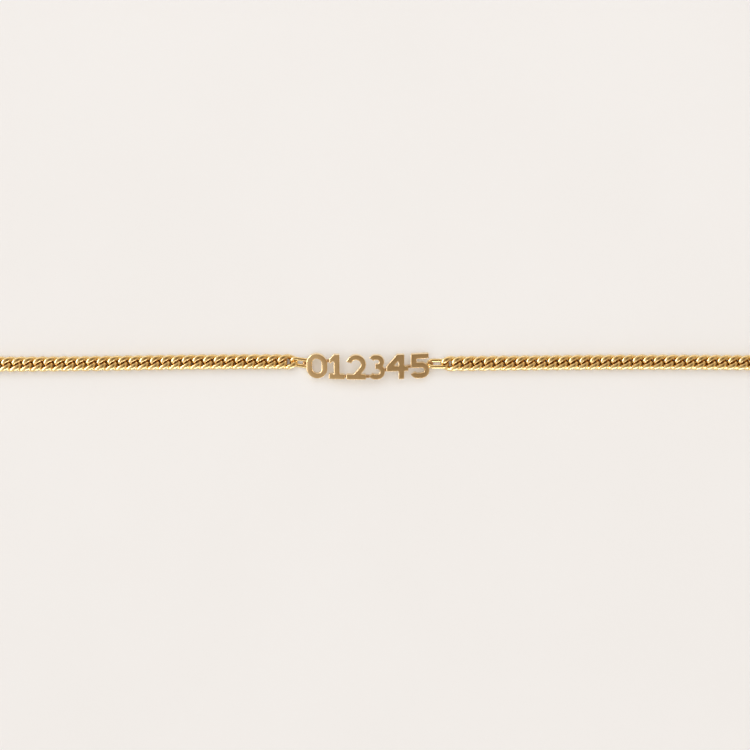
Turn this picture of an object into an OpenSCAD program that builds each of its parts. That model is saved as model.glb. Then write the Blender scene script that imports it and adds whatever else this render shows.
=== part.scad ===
// Nameplate bracelet: a cut-out plate of plain numbers with a soldered oval ring at each end,
// between two curb chains, with a spring ring clasp at one end and a plain ring at the other.
// It lies unfastened and straight along X. Y runs across it and the surface is at Z = 0.

/* [Plate] */
// Height of the digits, and so of the plate, measured on its face
plate_height = 3.4; // [3.2:0.1:3.8]
// Thickness of the sheet that the plate is cut from
plate_thickness = 0.85; // [0.6:0.05:1.1]
// Width of the upright strokes of the digits
stem = 0.76; // [0.6:0.02:0.8]
// Width of the level and the curved strokes of the digits
bar = 0.68; // [0.5:0.02:0.7]
// Radius of the curve that the plate is bent to, on its underside
arch_radius = 36; // [25:1:80]
// Angle by which the plate leans, with its upper edge raised
plate_lean = 15; // [0:1:20]
// Gap between one digit and the next
digit_gap = 0.2; // [0.12:0.02:0.3]
// Height of the small tie that joins each digit to the next
tie_height = 0.3; // [0.24:0.02:0.36]

/* [Digit widths] */
// Width of the nought
zero_w = 2.8; // [2.6:0.05:3.2]
// Width of the one, over its foot
one_w = 2.15; // [1.9:0.05:2.5]
// Width of the two
two_w = 2.65; // [2.5:0.05:2.8]
// Width of the three
three_w = 2.35; // [2.2:0.05:2.6]
// Width of the four, over its crossbar
four_w = 2.95; // [2.7:0.05:3.3]
// Width of the five
five_w = 2.65; // [2.4:0.05:3]

/* [Oval rings of the plate] */
// Length of each soldered oval ring
oval_length = 3; // [2.9:0.05:3.4]
// Width of each soldered oval ring
oval_width = 1.65; // [1.6:0.05:2]
// Wire of each soldered oval ring
oval_wire = 0.4; // [0.3:0.05:0.45]
// Angle by which each oval ring leans about the length of the bracelet
oval_lean = 40; // [30:1:50]
// Diameter of the bead of solder where an oval ring meets the plate
solder_d = 0.55; // [0.5:0.05:0.7]

/* [Chain] */
// Distance from one link to the next
link_pitch = 1.43; // [1.42:0.01:1.6]
// Width over the finished chain
chain_width = 2.12; // [2.1:0.02:2.4]
// Wire of the links
link_wire = 0.56; // [0.4:0.02:0.58]
// Length from the middle of a link to the middle of its end wire
link_reach = 1.08; // [1.06:0.005:1.1]
// Angle that each end of a link is twisted by
link_twist = 52; // [48:1:55]
// Links in the left chain
left_links = 53; // [20:1:70]
// Links in the right chain
right_links = 50; // [20:1:70]

/* [Clasp] */
// Outer diameter of the spring ring
clasp_d = 5.2; // [4.5:0.1:7]
// Wire of the spring ring
clasp_wire = 0.95; // [0.9:0.05:1.3]
// Outer diameter of the eye that is soldered to the spring ring
eye_d = 2; // [1.9:0.05:2.2]
// Wire of that eye
eye_wire = 0.4; // [0.35:0.05:0.45]
// Angle by which the eye leans about the length of the bracelet
eye_lean = 35; // [30:1:35]
// Length of the plain oval ring at the other end
end_ring_length = 4; // [3.4:0.1:5]
// Width of the plain oval ring
end_ring_width = 1.95; // [1.8:0.05:1.95]
// Wire of the plain oval ring
end_ring_wire = 0.45; // [0.35:0.05:0.45]
// Angle by which the plain oval ring leans about the length of the bracelet
end_ring_lean = 35; // [33:1:35]

/* [Hidden] */
$fn = 96;
polished_gold = [0.86, 0.66, 0.34];
satin_gold = [0.68, 0.54, 0.36];
// Play between two rings that pass through each other
slop = 0.14;

// Places of the digits along the plate
digit_widths = [zero_w, one_w, two_w, three_w, four_w, five_w];
last_digit = len(digit_widths) - 1;
function digit_x(i) = i == 0 ? 0 : digit_x(i - 1) + digit_widths[i - 1] + digit_gap;
plate_half = (digit_x(last_digit) + digit_widths[last_digit]) / 2;

// Middle of the tie after each digit, up from the foot of the plate
tie_levels = [2.42, 0.34, 0.37, 1.27, 1.63];
tie_bite = 0.3;

// Stance of the plate: its ends are held at the level of the chain by the oval rings
plate_y = -0.15;
plate_z = 0.3;
left_oval_turn = -8;
// How far each oval ring runs into the plate
left_overlap = 0.68;
right_overlap = 0.35;

// A link is a superellipse whose two ends are twisted opposite ways about its length
link_sides = 6;
link_stations = 12;
link_roundness = 2.5;
twist_power = 0.8;
link_half_width = (chain_width - link_wire) / 2;
// Radius to the corners of the wire, a little over that of the round wire it stands for
wire_corner = 0.52 * link_wire;

function signed_pow(v, e) = sign(v) * pow(abs(v), e);
function unit(v) = v / norm(v);
function spine(t) =
    let (x = link_reach * signed_pow(cos(t), 2 / link_roundness))
    let (w = link_half_width * signed_pow(sin(t), 2 / link_roundness))
    let (turn = -link_twist * signed_pow(x / link_reach, twist_power))
    [x, w * cos(turn), w * sin(turn)];
function wire_point(t, a) =
    let (along = unit(spine(t + 1) - spine(t - 1)))
    let (out = unit(spine(t) - (spine(t) * along) * along))
    spine(t) + wire_corner * (cos(a) * out + sin(a) * cross(along, out));
link_points = [
    for (i = [0:link_stations - 1], k = [0:link_sides - 1])
        wire_point(i * 360 / link_stations, k * 360 / link_sides)
];
function corner(i, k) = (i % link_stations) * link_sides + k % link_sides;
link_faces = [
    for (i = [0:link_stations - 1], k = [0:link_sides - 1], half = [0, 1])
        half == 0
            ? [corner(i, k), corner(i + 1, k), corner(i + 1, k + 1)]
            : [corner(i, k), corner(i + 1, k + 1), corner(i, k + 1)]
];
chain_z = -min([for (p = link_points) p.z]);

// The chain lies in a slight wave, with a swing and a crest of its own on each side
wave_length = 72;
left_swing = 0.17;
left_crest = 14;
right_swing = 0.12;
right_crest = 38;
function lay_y(x) = x < 0
    ? left_swing * cos(360 * (-x - left_crest) / wave_length)
    : right_swing * cos(360 * (x - right_crest) / wave_length);
function lay_turn(x) = atan(lay_y(x + 0.5) - lay_y(x - 0.5));

// Places along the bracelet, outwards from the plate. Each ring is drawn up against the next.
left_oval_x = left_overlap - plate_half - oval_length / 2;
right_oval_x = plate_half + oval_length / 2 - right_overlap;
wire_room = slop + link_wire / 2;
first_left_x = left_oval_x - oval_length / 2 + oval_wire + wire_room - link_reach;
first_right_x = right_oval_x + oval_length / 2 - oval_wire - wire_room + link_reach;
last_left_x = first_left_x - (left_links - 1) * link_pitch;
last_right_x = first_right_x + (right_links - 1) * link_pitch;
eye_x = last_right_x + link_reach - wire_room - eye_wire + eye_d / 2;
clasp_overlap = 0.25;
clasp_x = eye_x + eye_d / 2 + clasp_d / 2 - clasp_overlap;
end_ring_x = last_left_x - link_reach + wire_room + end_ring_wire - end_ring_length / 2;
left_oval_y = lay_y(first_left_x + link_reach) + (oval_length - oval_width) / 2 * sin(left_oval_turn);
right_oval_y = lay_y(first_right_x - link_reach);

// A curved stroke: part of a ring with outer radius r, from one angle to another
module arc_stroke(r, from, to) {
    steps = ceil((to - from) / 45);
    intersection() {
        difference() {
            circle(r = r);
            circle(r = r - bar);
        }
        polygon([
            [0, 0],
            for (i = [0:steps]) 2 * r * [cos(from + (to - from) * i / steps), sin(from + (to - from) * i / steps)]
        ]);
    }
}

// A bowl that is open on its left, whose lower end turns up by the angle of its tail
module bowl(w, r, tail) {
    translate([w - r, r]) arc_stroke(r, -90, 90);
    translate([r, 0]) square([w - 2 * r, bar]);
    translate([r, 2 * r - bar]) square([w - 2 * r, bar]);
    translate([r, r]) arc_stroke(r, -90 - tail, -90);
}

module stadium(w, h) {
    translate([w / 2, w / 2]) circle(d = w);
    translate([w / 2, h - w / 2]) circle(d = w);
    translate([0, w / 2]) square([w, h - w]);
}

module zero() {
    difference() {
        stadium(zero_w, plate_height);
        translate([stem, bar]) stadium(zero_w - 2 * stem, plate_height - 2 * bar);
    }
}

module one() {
    stem_x = (one_w - stem) / 2;
    flag_drop = 0.65;
    flag_tip = 0.1;
    translate([stem_x, 0]) square([stem, plate_height]);
    square([one_w, bar]);
    polygon([
        [stem_x, plate_height],
        [flag_tip, plate_height - flag_drop],
        [flag_tip, plate_height - flag_drop - bar],
        [stem_x, plate_height - bar - 0.2]
    ]);
}

module two() {
    r = two_w / 2;
    turn = 40;
    terminal = 165;
    // The slope starts inside the curve and is a little narrower, so that the two cross cleanly
    step_in = 0.02;
    lap = 0.1;
    centre = [r, plate_height - r];
    down = [-sin(turn), -cos(turn)];
    outer = centre + (r - step_in) * [cos(turn), -sin(turn)] - lap * down;
    inner = centre + (r - bar + step_in) * [cos(turn), -sin(turn)] - lap * down;
    foot_y = bar / 2;
    translate(centre) arc_stroke(r, -turn, terminal);
    polygon([
        outer,
        inner,
        inner + (inner.y - foot_y) / cos(turn) * down,
        outer + (outer.y - foot_y) / cos(turn) * down
    ]);
    square([two_w, bar]);
}

module three() {
    lower_r = 1.06;
    upper_r = (plate_height + bar) / 2 - lower_r;
    tail = 55;
    upper_inset = 0.1;
    bowl(three_w, lower_r, tail);
    translate([upper_inset, plate_height]) mirror([0, 1]) bowl(three_w - 2 * upper_inset, upper_r, tail);
}

module four() {
    foot_inset = 0.55;
    bar_y = 1.1;
    stem_x = four_w - foot_inset - stem;
    apex_x = stem_x - 0.26;
    shoulder_y = bar_y + bar;
    rise = (plate_height - shoulder_y) / apex_x;
    // The sloping stroke is as wide as a bar, measured level
    slope_w = bar * sqrt(1 + 1 / (rise * rise));
    hole_x = slope_w + 0.05;
    difference() {
        polygon([
            [0, bar_y],
            [stem_x + stem, bar_y],
            [stem_x + stem, plate_height],
            [apex_x, plate_height],
            [0, shoulder_y]
        ]);
        polygon([
            [hole_x, shoulder_y],
            [stem_x, shoulder_y],
            [stem_x, shoulder_y + (stem_x - hole_x) * rise]
        ]);
    }
    translate([0, bar_y]) square([four_w, bar]);
    translate([stem_x, 0]) square([stem, plate_height]);
}

module five() {
    inset = 0.12;
    r = 1.08;
    tail = 60;
    translate([inset, plate_height - bar]) square([five_w - 2 * inset, bar]);
    translate([inset, 2 * r - bar]) square([stem, plate_height - 2 * r + bar]);
    translate([inset, 2 * r - bar]) square([r, bar]);
    bowl(five_w, r, tail);
}

module digit(i) {
    if (i == 0) zero();
    if (i == 1) one();
    if (i == 2) two();
    if (i == 3) three();
    if (i == 4) four();
    if (i == 5) five();
}

module plate_outline() {
    for (i = [0:last_digit]) translate([digit_x(i), 0]) digit(i);
    for (i = [0:last_digit - 1])
        translate([digit_x(i + 1) - digit_gap - tie_bite, tie_levels[i] - tie_height / 2])
            square([digit_gap + 2 * tie_bite, tie_height]);
}

// The flat outline cut from a sheet that is curved along the bracelet and level at its ends
module arched_plate() {
    axis_z = -sqrt(arch_radius * arch_radius - plate_half * plate_half);
    shell_w = plate_height + 2;
    block_h = 2 * plate_thickness + 2;
    intersection() {
        translate([-plate_half, -plate_height / 2, -0.5]) linear_extrude(block_h) plate_outline();
        translate([0, shell_w / 2, axis_z]) rotate([90, 0, 0]) difference() {
            cylinder(r = arch_radius + plate_thickness, h = shell_w, $fn = 360);
            translate([0, 0, -1]) cylinder(r = arch_radius, h = shell_w + 2, $fn = 360);
        }
    }
}

// A round ring of wire, measured over its outside, lying flat
module wire_ring(d, wire) {
    rotate_extrude() translate([(d - wire) / 2, 0]) circle(d = wire, $fn = 48);
}

// An oval ring of wire, measured over its outside, with two straight sides along X
module oval_ring(length, width, wire) {
    half_round = (width - wire) / 2;
    straight = length - width;
    for (side = [0, 180])
        rotate([0, 0, side]) {
            translate([straight / 2, 0, 0]) rotate([0, 0, -90])
                rotate_extrude(angle = 180) translate([half_round, 0]) circle(d = wire, $fn = 48);
            translate([-straight / 2, half_round, 0]) rotate([0, 90, 0])
                cylinder(d = wire, h = straight, $fn = 48);
        }
}

module plate_ring() { oval_ring(oval_length, oval_width, oval_wire); }

module nameplate() {
    color(satin_gold) {
        translate([0, plate_y, plate_z]) rotate([plate_lean, 0, 0]) arched_plate();
        translate([left_oval_x, left_oval_y, chain_z]) rotate([oval_lean, 0, left_oval_turn]) plate_ring();
        translate([right_oval_x, right_oval_y, chain_z]) rotate([-oval_lean, 0, 0]) plate_ring();
        translate([-plate_half + solder_d / 5, left_oval_y, chain_z]) sphere(d = solder_d);
        translate([plate_half - solder_d / 5, right_oval_y, chain_z]) sphere(d = solder_d);
    }
}

module link() {
    polyhedron(points = link_points, faces = link_faces);
}

// A run of links from one place along the bracelet, outwards in the direction given
module chain(first_x, count, direction) {
    color(polished_gold)
        for (i = [0:count - 1]) {
            x = first_x + direction * i * link_pitch;
            translate([x, lay_y(x), chain_z]) rotate([0, 0, lay_turn(x)]) link();
        }
}

module chain_left() { chain(first_left_x, left_links, -1); }

module chain_right() { chain(first_right_x, right_links, 1); }

// A spring ring in one plain piece, with its thumb lever and the eye that the chain passes through
module spring_clasp() {
    lever_d = 0.5;
    lever_reach = 0.75;
    lever_angle = 62;
    color(polished_gold)
        translate([0, lay_y(eye_x), 0]) {
            translate([clasp_x, 0, clasp_wire / 2]) {
                wire_ring(clasp_d, clasp_wire);
                rotate([0, 0, lever_angle]) translate([(clasp_d - clasp_wire) / 2, 0, 0]) {
                    rotate([0, 90, 0]) cylinder(d = lever_d, h = lever_reach + clasp_wire / 2 - lever_d / 2);
                    translate([lever_reach + clasp_wire / 2 - lever_d / 2, 0, 0]) sphere(d = lever_d);
                }
            }
            translate([eye_x, 0, chain_z]) rotate([eye_lean, 0, 0]) wire_ring(eye_d, eye_wire);
        }
}

module end_ring() {
    color(polished_gold)
        translate([end_ring_x, lay_y(end_ring_x), chain_z])
            rotate([-end_ring_lean, 0, 0]) oval_ring(end_ring_length, end_ring_width, end_ring_wire);
}

nameplate();
chain_left();
chain_right();
spring_clasp();
end_ring();
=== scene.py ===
"""Nameplate bracelet, unfastened and laid straight on pale paper, seen from above.

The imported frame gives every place. This script models the plate, the rings, the curb chains and
the clasp again as smooth, finished metal around it, and sets up the paper, light and camera.
"""

import logging
import math
import random
from contextlib import contextmanager
from dataclasses import dataclass, field, replace
from enum import Enum
from typing import Callable, Iterable, Iterator, Sequence

import bpy
from mathutils import Matrix, Vector


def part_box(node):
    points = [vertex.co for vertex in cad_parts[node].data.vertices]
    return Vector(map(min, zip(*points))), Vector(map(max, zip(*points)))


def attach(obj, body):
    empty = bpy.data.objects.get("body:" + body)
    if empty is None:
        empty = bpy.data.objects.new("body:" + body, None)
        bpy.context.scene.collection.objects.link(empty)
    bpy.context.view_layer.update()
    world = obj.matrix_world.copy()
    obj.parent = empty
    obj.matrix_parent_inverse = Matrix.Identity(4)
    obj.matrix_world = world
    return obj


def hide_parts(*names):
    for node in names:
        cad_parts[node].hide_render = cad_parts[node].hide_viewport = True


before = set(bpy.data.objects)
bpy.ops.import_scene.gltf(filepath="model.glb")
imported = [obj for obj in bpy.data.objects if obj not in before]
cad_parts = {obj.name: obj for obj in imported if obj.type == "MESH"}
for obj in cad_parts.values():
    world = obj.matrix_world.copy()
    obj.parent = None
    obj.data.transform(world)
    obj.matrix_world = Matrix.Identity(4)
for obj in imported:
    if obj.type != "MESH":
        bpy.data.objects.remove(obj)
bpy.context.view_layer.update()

MM = 0.001
DOUBLED = 1e-7  # metres: vertices closer than this count as one
SMOOTHED = 40.0  # degrees: flatter edges are shaded smooth
ROUNDED = 60.0  # degrees: the same for small round pieces, and for the ends that are bevelled
BEVEL_STEPS = 3
log = logging.getLogger("bracelet")


class Node(Enum):
    """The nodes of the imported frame."""

    PLATE = "nameplate"
    LEFT = "chain_left"
    RIGHT = "chain_right"
    CLASP = "spring_clasp"
    END_RING = "end_ring"


class Slot(Enum):
    """The material slots of the record."""

    PLATE = "plate_gold"
    CHAIN = "chain_gold"
    CLASP = "clasp_gold"


class Side(Enum):
    """The side of the plate that a chain leaves on."""

    LEFT = -1
    RIGHT = 1


# Shader maths


class Socket:
    """An output socket on which Python's operators add Math nodes."""

    def __init__(self, graph: "Graph", link: bpy.types.NodeSocket) -> None:
        """Wrap one output.

        Args:
            graph: The node graph that the socket belongs to.
            link: The output socket itself.
        """
        self.graph = graph
        self.link = link

    def __add__(self, other: "Value") -> "Socket":
        """Sum of two values."""
        return self.graph.math("ADD", self, other)

    def __rsub__(self, other: "Value") -> "Socket":
        """Difference from a number."""
        return self.graph.math("SUBTRACT", other, self)

    def __mul__(self, other: "Value") -> "Socket":
        """Product of two values."""
        return self.graph.math("MULTIPLY", self, other)

    __radd__ = __add__
    __rmul__ = __mul__


Value = Socket | float
Colour = tuple[float, float, float]
Triple = tuple[float, float, float]
Pair = tuple[float, float]
Span = tuple[float, float]


class Graph:
    """A node graph, of a material or of the world."""

    def __init__(self, tree: bpy.types.NodeTree) -> None:
        """Take over a node tree.

        Args:
            tree: The node tree that new nodes go into.
        """
        self.tree = tree

    def node(self, kind: str, settings: dict[str, object] | None = None,
             **inputs: "Value | Colour") -> bpy.types.Node:
        """Add any node.

        Args:
            kind: The node's type name.
            settings: Its properties, set before its sockets.
            **inputs: Values or links by socket name, with an underscore for a space, or by
                place, such as _0.

        Returns:
            The new node.
        """
        made = self.tree.nodes.new(kind)
        for name, value in (settings or {}).items():
            setattr(made, name, value)
        for name, value in inputs.items():
            key = int(name[1:]) if name[1:].isdigit() else name.replace("_", " ")
            self.feed(made.inputs[key], value)
        return made

    def feed(self, entry: bpy.types.NodeSocket, value: "Value | Colour") -> None:
        """Link or set one input socket.

        Args:
            entry: The input socket.
            value: A link, a number, a colour or a vector.
        """
        if isinstance(value, Socket):
            self.tree.links.new(value.link, entry)
        elif isinstance(value, tuple) and len(value) == 3 and entry.type == "RGBA":
            entry.default_value = (*value, 1.0)
        else:
            entry.default_value = value

    def fed(self, entry: bpy.types.NodeSocket) -> Socket:
        """What feeds an input socket so far."""
        return Socket(self, entry.links[0].from_socket)

    def out(self, made: bpy.types.Node, name: str | int = 0) -> Socket:
        """One output of a node, wrapped."""
        return Socket(self, made.outputs[name])

    def math(self, operation: str, first: "Value", second: "Value") -> Socket:
        """Add a Math node."""
        return self.out(self.node("ShaderNodeMath", {"operation": operation}, _0=first, _1=second))

    def mix(self, factor: "Value", low: "Socket | Colour", high: "Socket | Colour") -> Socket:
        """Mix two colours."""
        made = self.node("ShaderNodeMix", {"data_type": "RGBA"}, _0=factor, _6=low, _7=high)
        return self.out(made, 2)

    def blend(self, factor: "Value", low: "Value", high: "Value") -> Socket:
        """Mix two numbers."""
        made = self.node("ShaderNodeMix", {"data_type": "FLOAT"}, _0=factor, _2=low, _3=high)
        return self.out(made, 0)

    def smooth(self, value: "Value", span: "Span") -> Socket:
        """Rise smoothly from 0 at the span's low end to 1 at its high end."""
        settings = {"interpolation_type": "SMOOTHSTEP"}
        return self.out(self.node("ShaderNodeMapRange", settings, _0=value, _1=span[0], _2=span[1]))

    def place(self, scale: "Triple" = (1.0, 1.0, 1.0)) -> Socket:
        """Object coordinates, scaled along the axes.

        Args:
            scale: The scale along each axis, small where a pattern is drawn out.

        Returns:
            The coordinates.
        """
        coordinates = self.out(self.node("ShaderNodeTexCoord"), "Object")
        mapped = self.node("ShaderNodeMapping", None, Vector=coordinates, Scale=scale)
        return self.out(mapped)

    def noise(self, where: Socket, size_mm: float, detail: float = 3.0, rough: float = 0.5) -> Socket:
        """Noise between 0 and 1.

        Args:
            where: The coordinates.
            size_mm: The size of one lump.
            detail: The number of finer layers.
            rough: How strong the finer layers are.

        Returns:
            The noise's value.
        """
        made = self.node("ShaderNodeTexNoise", None, Vector=where, Scale=1.0 / (size_mm * MM),
                         Detail=detail, Roughness=rough)
        return self.out(made, 0)

    def parts(self, vector: Socket) -> tuple[Socket, Socket, Socket]:
        """The three parts of a vector."""
        made = self.node("ShaderNodeSeparateXYZ", None, Vector=vector)
        return self.out(made, 0), self.out(made, 1), self.out(made, 2)

    def bump(self, height: Socket, strength: float, depth_mm: float) -> Socket:
        """A bumped normal."""
        made = self.node("ShaderNodeBump", None, Height=height, Strength=strength,
                         Distance=depth_mm * MM)
        return self.out(made)


def new_material(name: str) -> tuple[bpy.types.Material, Graph, bpy.types.Node]:
    """Make a material.

    Args:
        name: Its name.

    Returns:
        The material, its graph and its Principled shader.
    """
    made = bpy.data.materials.new(name)
    made.use_nodes = True
    return made, Graph(made.node_tree), made.node_tree.nodes["Principled BSDF"]


@dataclass(frozen=True)
class Gold:
    """A finish of gold plate, worn as small jewellery is.

    Attributes:
        name: The material's name.
        colour: The metal's own colour.
        warm: The colour of its redder patches.
        rough: Its roughness where it is clean.
        haze: How much rougher its hazy patches are.
        scratch_mm: The spacing of the polishing lines.
        scratch_depth_mm: Their depth.
        lines: The scale of the lines' pattern along each axis, small where they are drawn out.
        scratch_strength: How strongly they show.
        patch_mm: The size of the redder patches.
        patch_span: The values of their noise between which they set in.
        haze_mm: The size of the hazy patches.
        haze_span: The values of their noise between which they set in.
    """

    name: str
    colour: Colour
    warm: Colour
    rough: float
    haze: float
    scratch_mm: float = 0.03
    scratch_depth_mm: float = 0.001
    lines: Triple = (0.05, 1.0, 1.0)
    scratch_strength: float = 0.6
    patch_mm: float = 1.6
    patch_span: Span = (0.4, 0.65)
    haze_mm: float = 0.35
    haze_span: Span = (0.45, 0.7)

    def shade(self, graph: Graph, shader: bpy.types.Node) -> None:
        """Feed the shader's sockets.

        Args:
            graph: The material's graph.
            shader: Its Principled shader.
        """
        where = graph.place()
        patches = graph.smooth(graph.noise(where, self.patch_mm), self.patch_span)
        haze = graph.smooth(graph.noise(where, self.haze_mm, detail=4.0), self.haze_span)
        scratches = graph.noise(graph.place(self.lines), self.scratch_mm, detail=2.0)
        graph.feed(shader.inputs["Base Color"], graph.mix(patches, self.colour, self.warm))
        graph.feed(shader.inputs["Roughness"], haze * self.haze + self.rough)
        bumped = graph.bump(scratches, self.scratch_strength, self.scratch_depth_mm)
        graph.feed(shader.inputs["Normal"], bumped)

    def material(self) -> bpy.types.Material:
        """Make the material.

        Returns:
            The new material.
        """
        made, graph, shader = new_material(self.name)
        shader.inputs["Metallic"].default_value = 1.0
        self.shade(graph, shader)
        return made


@dataclass(frozen=True)
class ChainGold(Gold):
    """Polished gold with painted shade: the inner faces of each link, turned to its middle, are painted
    darker and redder.

    Attributes:
        painted_shade_colour: The colour of the painted shade on the inner faces.
        crevice: The name of the mesh attribute that tells how far inside a face lies.
        painted_shade_span: The values of that attribute between which the painted shade sets in.
    """

    painted_shade_colour: Colour = (0.80, 0.54, 0.24)
    crevice: str = "crevice"
    painted_shade_span: Span = (0.35, 0.95)

    def shade(self, graph: Graph, shader: bpy.types.Node) -> None:
        """Feed the shader's sockets.

        Args:
            graph: The material's graph.
            shader: Its Principled shader.
        """
        super().shade(graph, shader)
        inside = graph.out(graph.node("ShaderNodeAttribute", {"attribute_name": self.crevice}), "Fac")
        plain_gold = graph.fed(shader.inputs["Base Color"])
        # Painted shade: faces that lie further inside each link are mixed towards the darker, redder
        # colour.
        painted_shade = graph.smooth(inside, self.painted_shade_span)
        graph.feed(shader.inputs["Base Color"], graph.mix(painted_shade, plain_gold, self.painted_shade_colour))


@dataclass(frozen=True)
class SatinGold(Gold):
    """Gold whose broad face is brushed satin and whose rounded edges are polished and painted a lighter
    gold, a painted highlight against the face's painted shade.

    Attributes:
        face: The direction that the broad face looks in, at the middle of the plate.
        face_span: The cosines to that direction between which an edge turns into the face.
        edge_rough: The roughness of the polished edges.
        edge_highlight_colour: The lighter gold painted on the polished edges, a painted highlight.
    """

    face: Triple = (0.0, -0.26, 0.966)
    face_span: Span = (0.78, 0.93)
    edge_rough: float = 0.12
    edge_highlight_colour: Colour = (0.96, 0.76, 0.45)

    def shade(self, graph: Graph, shader: bpy.types.Node) -> None:
        """Feed the shader's sockets.

        Args:
            graph: The material's graph.
            shader: Its Principled shader.
        """
        super().shade(graph, shader)
        normal = graph.out(graph.node("ShaderNodeNewGeometry"), "Normal")
        dot = graph.node("ShaderNodeVectorMath", {"operation": "DOT_PRODUCT"}, _0=normal, _1=self.face)
        edge = 1.0 - graph.smooth(graph.out(dot, "Value"), self.face_span)
        satin = graph.fed(shader.inputs["Base Color"])
        brushed = graph.fed(shader.inputs["Roughness"])
        # Painted highlight: the rounded edges take a lighter, paler gold than the darker face; their lower
        # roughness is the real polish.
        graph.feed(shader.inputs["Base Color"], graph.mix(edge, satin, self.edge_highlight_colour))
        graph.feed(shader.inputs["Roughness"], graph.blend(edge, brushed, self.edge_rough))


@dataclass(frozen=True)
class Solder(Gold):
    """Brown solder, with dull and bright spots.

    Attributes:
        spot_mm: The size of the spots.
        spot_span: The values of their noise between which they set in.
        pit_mm: The size of its pits.
        pit_strength: How strongly they show.
        pit_depth_mm: Their depth.
    """

    spot_mm: float = 0.22
    spot_span: Span = (0.3, 0.7)
    pit_mm: float = 0.08
    pit_strength: float = 0.5
    pit_depth_mm: float = 0.01

    def shade(self, graph: Graph, shader: bpy.types.Node) -> None:
        """Feed the shader's sockets.

        Args:
            graph: The material's graph.
            shader: Its Principled shader.
        """
        where = graph.place()
        spots = graph.smooth(graph.noise(where, self.spot_mm, detail=4.0), self.spot_span)
        graph.feed(shader.inputs["Base Color"], graph.mix(spots, self.colour, self.warm))
        graph.feed(shader.inputs["Roughness"], spots * self.haze + self.rough)
        pits = graph.noise(where, self.pit_mm)
        graph.feed(shader.inputs["Normal"], graph.bump(pits, self.pit_strength, self.pit_depth_mm))


@dataclass(frozen=True)
class Paper:
    """Pale uncoated paper.

    Attributes:
        colour: The paper's colour.
        shade_colour: The colour of its faint clouds.
        cloud_mm: The size of the clouds.
        cloud_span: The values of their noise between which they set in.
        fibre_mm: The size of its fibres.
        fibre_strength: How strongly they show.
        fibre_depth_mm: Their depth.
        rough: Its roughness.
        sheen: Its specular level.
    """

    colour: Colour = (0.855, 0.865, 0.89)
    shade_colour: Colour = (0.848, 0.857, 0.88)
    cloud_mm: float = 30.0
    cloud_span: Span = (0.35, 0.65)
    fibre_mm: float = 0.5
    fibre_strength: float = 0.25
    fibre_depth_mm: float = 0.05
    rough: float = 0.95
    sheen: float = 0.2

    def material(self) -> bpy.types.Material:
        """Make the material.

        Returns:
            The new material.
        """
        made, graph, shader = new_material("paper")
        where = graph.place()
        clouds = graph.smooth(graph.noise(where, self.cloud_mm, detail=4.0), self.cloud_span)
        fibre = graph.noise(where, self.fibre_mm, detail=4.0, rough=0.6)
        graph.feed(shader.inputs["Base Color"], graph.mix(clouds, self.colour, self.shade_colour))
        shader.inputs["Roughness"].default_value = self.rough
        shader.inputs["Specular IOR Level"].default_value = self.sheen
        graph.feed(shader.inputs["Normal"], graph.bump(fibre, self.fibre_strength, self.fibre_depth_mm))
        return made


CHAIN_GOLD = ChainGold("polished_gold", colour=(0.94, 0.725, 0.365), warm=(0.91, 0.675, 0.32),
                       rough=0.18, haze=0.06, lines=(1.0, 0.2, 1.0))
CLASP_GOLD = Gold("clasp_gold", colour=(0.92, 0.71, 0.36), warm=(0.90, 0.66, 0.31), rough=0.12, haze=0.06)
# The plate's face is painted a darker gold than the chain and clasp: painted shade on the broad face.
PLATE_GOLD = SatinGold("satin_gold", colour=(0.67, 0.475, 0.25), warm=(0.63, 0.435, 0.225),
                       rough=0.36, haze=0.05, scratch_mm=0.06, scratch_depth_mm=0.0025,
                       lines=(1.0, 0.05, 1.0))
SOLDER = Solder("brown_solder", colour=(0.50, 0.28, 0.12), warm=(0.74, 0.49, 0.25), rough=0.26, haze=0.2)


# Modelling helpers


def select_only(*pieces: bpy.types.Object) -> None:
    """Select some objects and nothing else, and make the first one active.

    Args:
        *pieces: The objects.
    """
    if bpy.context.object and bpy.context.object.mode != "OBJECT":
        bpy.ops.object.mode_set(mode="OBJECT")
    bpy.ops.object.select_all(action="DESELECT")
    for piece in pieces:
        piece.select_set(True)
    bpy.context.view_layer.objects.active = pieces[0] if pieces else None


def added(name: str) -> bpy.types.Object:
    """Name the object that an operator has just added.

    Args:
        name: The name of the object and its data.

    Returns:
        The object.
    """
    piece = bpy.context.object
    piece.name = name
    piece.data.name = name
    return piece


def apply_modifier(piece: bpy.types.Object, kind: str, **settings: object) -> None:
    """Add a modifier to an object and apply it.

    Args:
        piece: The object.
        kind: The modifier's type.
        **settings: The modifier's properties.
    """
    select_only(piece)
    modifier = piece.modifiers.new(kind.lower(), kind)
    for name, value in settings.items():
        setattr(modifier, name, value)
    bpy.ops.object.modifier_apply(modifier=modifier.name)


def rotation(degrees: float, axis: str) -> Matrix:
    """A turn about an axis."""
    return Matrix.Rotation(math.radians(degrees), 4, axis)


def settle(piece: bpy.types.Object, place: Matrix | None = None) -> bpy.types.Object:
    """Put an object in its place and leave the place in its mesh.

    Args:
        piece: The object.
        place: The matrix that carries it to its place, if it isn't there yet.

    Returns:
        The same object.
    """
    if place is not None:
        piece.matrix_world = place @ piece.matrix_world
    select_only(piece)
    bpy.ops.object.transform_apply(location=True, rotation=True, scale=True)
    return piece


@contextmanager
def editing(piece: bpy.types.Object) -> Iterator[None]:
    """Open an object's mesh for editing, all of it selected, and close it afterwards.

    Args:
        piece: The object.

    Yields:
        Nothing, while the mesh is open.
    """
    select_only(piece)
    bpy.ops.object.mode_set(mode="EDIT")
    bpy.ops.mesh.select_all(action="SELECT")
    yield
    bpy.ops.object.mode_set(mode="OBJECT")


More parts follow.
